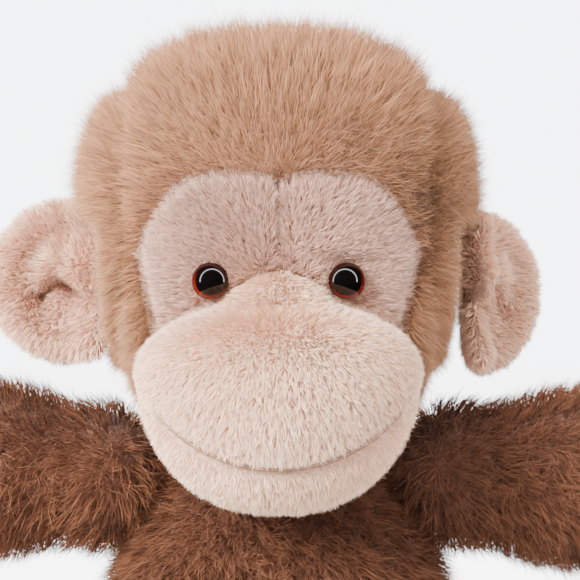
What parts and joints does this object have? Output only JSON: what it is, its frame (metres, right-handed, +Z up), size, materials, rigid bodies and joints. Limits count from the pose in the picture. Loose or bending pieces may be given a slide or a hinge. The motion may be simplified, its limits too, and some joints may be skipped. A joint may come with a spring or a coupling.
{
  "type": "stuffed monkey",
  "caption": "Sitting plush monkey with a tan furry head, pale face and rounded muzzle, round ears, a brown furry trunk, arms held out sideways, legs forward and a short tail.",
  "frame": {"origin": "on the ground under the seat, in the middle of the monkey's width", "axes": "+Z up; the face looks along -Y; +X is the monkey's own left"},
  "size_m": [0.468, 0.2718, 0.283],
  "materials": {
    "tan_fur": "matte",
    "brown_fur": "matte",
    "pink_plush": "matte",
    "cream_plush": "matte",
    "filling": "matte",
    "thread": "matte",
    "eye_dome": "gloss",
    "eye_iris": "gloss",
    "washer": "matte",
    "pellet_cloth": "matte"
  },
  "bodies": {
    "trunk": {"chest_panel": "brown_fur", "left_back_panel": "brown_fur", "right_back_panel": "brown_fur", "seat_panel": "brown_fur", "trunk_stuffing": "filling", "pellet_bag": "pellet_cloth"},
    "neck": {"neck_stuffing": "filling"},
    "head": {"crown_panel": "tan_fur", "left_head_panel": "tan_fur", "right_head_panel": "tan_fur", "face_panel": "pink_plush", "muzzle_panel": "cream_plush", "chin_panel": "cream_plush", "mouth_thread": "thread", "head_stuffing": "filling", "left_eye": "eye_dome", "right_eye": "eye_dome", "left_eye_iris": "eye_iris", "right_eye_iris": "eye_iris", "left_eye_washer": "washer", "right_eye_washer": "washer"},
    "tail": {"tail_cloth": "brown_fur", "tail_stuffing": "filling"},
    "left_ear": {"left_ear_front": "pink_plush", "left_ear_back": "pink_plush", "left_ear_filling": "filling"},
    "left_shoulder": {"left_shoulder_stuffing": "filling"},
    "left_arm": {"left_arm_cloth": "brown_fur", "left_arm_stuffing": "filling", "left_hand_cloth": "pink_plush", "left_hand_stuffing": "filling"},
    "left_leg": {"left_leg_cloth": "brown_fur", "left_leg_stuffing": "filling", "left_foot_cloth": "pink_plush", "left_foot_stuffing": "filling"},
    "right_ear": {"right_ear_front": "pink_plush", "right_ear_back": "pink_plush", "right_ear_filling": "filling"},
    "right_shoulder": {"right_shoulder_stuffing": "filling"},
    "right_arm": {"right_arm_cloth": "brown_fur", "right_arm_stuffing": "filling", "right_hand_cloth": "pink_plush", "right_hand_stuffing": "filling"},
    "right_leg": {"right_leg_cloth": "brown_fur", "right_leg_stuffing": "filling", "right_foot_cloth": "pink_plush", "right_foot_stuffing": "filling"}
  },
  "joints": [
    {"name": "head_turn", "type": "hinge", "parent": "trunk", "child": "neck", "pos_m": [0, 0, 0.143], "axis": [0, 0, 1], "range_deg": [-22, 22], "stiffness_Nm_per_rad": 1.2},
    {"name": "head_nod", "type": "hinge", "parent": "neck", "child": "head", "pos_m": [0, 0, 0.143], "axis": [1, 0, 0], "range_deg": [-12, 4], "stiffness_Nm_per_rad": 3},
    {"name": "left_ear_fold", "type": "hinge", "parent": "head", "child": "left_ear", "pos_m": [0.0666, -0.007, 0.1983], "axis": [0, 0, -1], "range_deg": [-15, 36], "stiffness_Nm_per_rad": 0.05},
    {"name": "left_arm_swing", "type": "hinge", "parent": "trunk", "child": "left_shoulder", "pos_m": [0.067, 0, 0.126], "axis": [0, 0, -1], "range_deg": [-15, 45], "stiffness_Nm_per_rad": 1.2},
    {"name": "left_arm_lift", "type": "hinge", "parent": "left_shoulder", "child": "left_arm", "pos_m": [0.067, 0, 0.126], "axis": [0, -1, 0], "range_deg": [-30, 8], "stiffness_Nm_per_rad": 1.5},
    {"name": "left_leg_lift", "type": "hinge", "parent": "trunk", "child": "left_leg", "pos_m": [0.0396, -0.048, 0.03], "axis": [-0.9397, -0.342, 0], "range_deg": [0, 35], "stiffness_Nm_per_rad": 0.8},
    {"name": "right_ear_fold", "type": "hinge", "parent": "head", "child": "right_ear", "pos_m": [-0.0666, -0.007, 0.1983], "axis": [0, 0, 1], "range_deg": [-15, 36], "stiffness_Nm_per_rad": 0.05},
    {"name": "right_arm_swing", "type": "hinge", "parent": "trunk", "child": "right_shoulder", "pos_m": [-0.067, 0, 0.126], "axis": [0, 0, 1], "range_deg": [-15, 45], "stiffness_Nm_per_rad": 1.2},
    {"name": "right_arm_lift", "type": "hinge", "parent": "right_shoulder", "child": "right_arm", "pos_m": [-0.067, 0, 0.126], "axis": [0, 1, 0], "range_deg": [-30, 8], "stiffness_Nm_per_rad": 1.5},
    {"name": "right_leg_lift", "type": "hinge", "parent": "trunk", "child": "right_leg", "pos_m": [-0.0396, -0.048, 0.03], "axis": [-0.9397, 0.342, 0], "range_deg": [0, 35], "stiffness_Nm_per_rad": 0.8},
    {"name": "tail_swing", "type": "hinge", "parent": "trunk", "child": "tail", "pos_m": [0, 0.0465, 0.01012], "axis": [0, 0, 1], "range_deg": [-20, 25], "stiffness_Nm_per_rad": 0.2}
  ]
}
